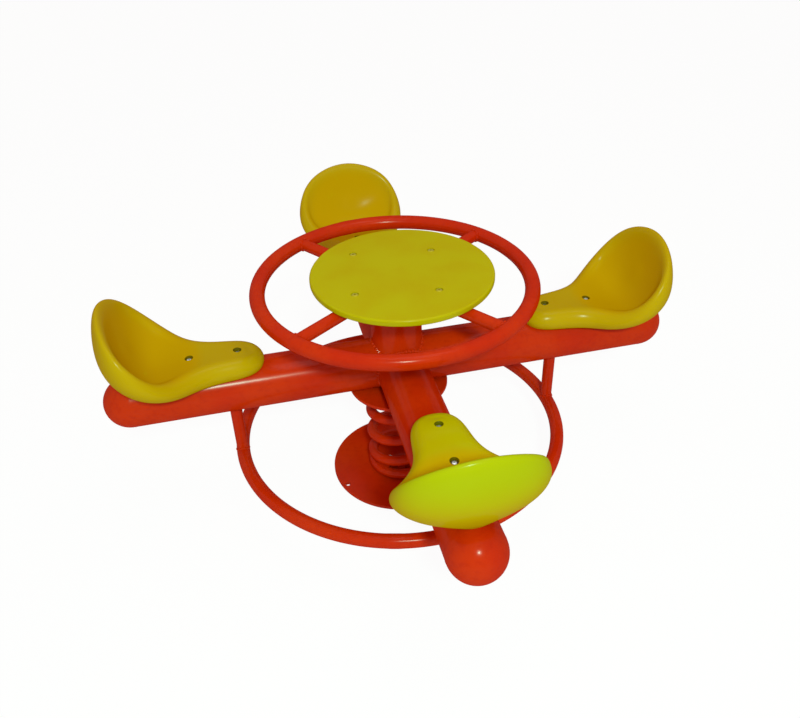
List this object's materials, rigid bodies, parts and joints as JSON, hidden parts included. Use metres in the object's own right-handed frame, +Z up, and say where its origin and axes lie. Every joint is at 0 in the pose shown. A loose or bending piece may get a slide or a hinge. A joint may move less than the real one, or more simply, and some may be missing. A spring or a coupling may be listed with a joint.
{
  "type": "playground spring rocker",
  "caption": "Spring-mounted playground rocker: bucket seats on a cross of tube round a small table, with a handle ring, a foot ring and a coil spring on a round base plate.",
  "frame": {"origin": "centre of the base plate's underside, on the ground", "axes": "+Z up; +X towards the right seat, +Y towards the rear seat"},
  "size_m": [1.3066, 1.3066, 0.5537],
  "materials": {
    "red_paint": "gloss powder coat",
    "yellow_plastic": "satin moulded polyethylene",
    "zinc": "zinc plated"
  },
  "bodies": {
    "base": {"base_plate": "red_paint", "lower_spring_clamp_left": "red_paint", "lower_spring_clamp_right": "red_paint", "lower_clamp_bolt_left": "zinc", "lower_clamp_bolt_right": "zinc"},
    "spring": {"coil_spring": "red_paint"},
    "top_frame": {"spring_top_plate": "red_paint", "upper_spring_clamp_left": "red_paint", "upper_spring_clamp_right": "red_paint", "upper_clamp_bolt_left": "zinc", "upper_clamp_bolt_right": "zinc", "cross_beam": "red_paint", "front_arm": "red_paint", "rear_arm": "red_paint", "centre_post": "red_paint", "right_end_cap": "red_paint", "rear_end_cap": "red_paint", "left_end_cap": "red_paint", "front_end_cap": "red_paint", "handle_ring": "red_paint", "rear_right_spoke": "red_paint", "rear_left_spoke": "red_paint", "front_left_spoke": "red_paint", "front_right_spoke": "red_paint", "table_top": "yellow_plastic", "rear_right_table_bolt": "zinc", "rear_left_table_bolt": "zinc", "front_left_table_bolt": "zinc", "front_right_table_bolt": "zinc", "rear_right_table_nut": "zinc", "rear_left_table_nut": "zinc", "front_left_table_nut": "zinc", "front_right_table_nut": "zinc", "foot_ring": "red_paint", "right_foot_strut": "red_paint", "rear_foot_strut": "red_paint", "left_foot_strut": "red_paint", "front_foot_strut": "red_paint", "right_seat": "yellow_plastic", "rear_seat": "yellow_plastic", "left_seat": "yellow_plastic", "front_seat": "yellow_plastic", "right_inner_seat_bolt": "zinc", "right_outer_seat_bolt": "zinc", "rear_inner_seat_bolt": "zinc", "rear_outer_seat_bolt": "zinc", "left_inner_seat_bolt": "zinc", "left_outer_seat_bolt": "zinc", "front_inner_seat_bolt": "zinc", "front_outer_seat_bolt": "zinc", "right_inner_weld_nut": "zinc", "right_outer_weld_nut": "zinc", "rear_inner_weld_nut": "zinc", "rear_outer_weld_nut": "zinc", "left_inner_weld_nut": "zinc", "left_outer_weld_nut": "zinc", "front_inner_weld_nut": "zinc", "front_outer_weld_nut": "zinc"}
  },
  "joints": [
    {"name": "rock_fore", "type": "hinge", "parent": "base", "child": "spring", "pos_m": [0, 0, 0.1313], "axis": [1, 0, 0], "range_deg": [-10, 10], "stiffness_Nm_per_rad": 2500, "deforming": ["coil_spring"]},
    {"name": "rock_side", "type": "hinge", "parent": "spring", "child": "top_frame", "pos_m": [0, 0, 0.1313], "axis": [0, 1, 0], "range_deg": [-10, 10], "stiffness_Nm_per_rad": 2500, "deforming": ["coil_spring"]}
  ]
}
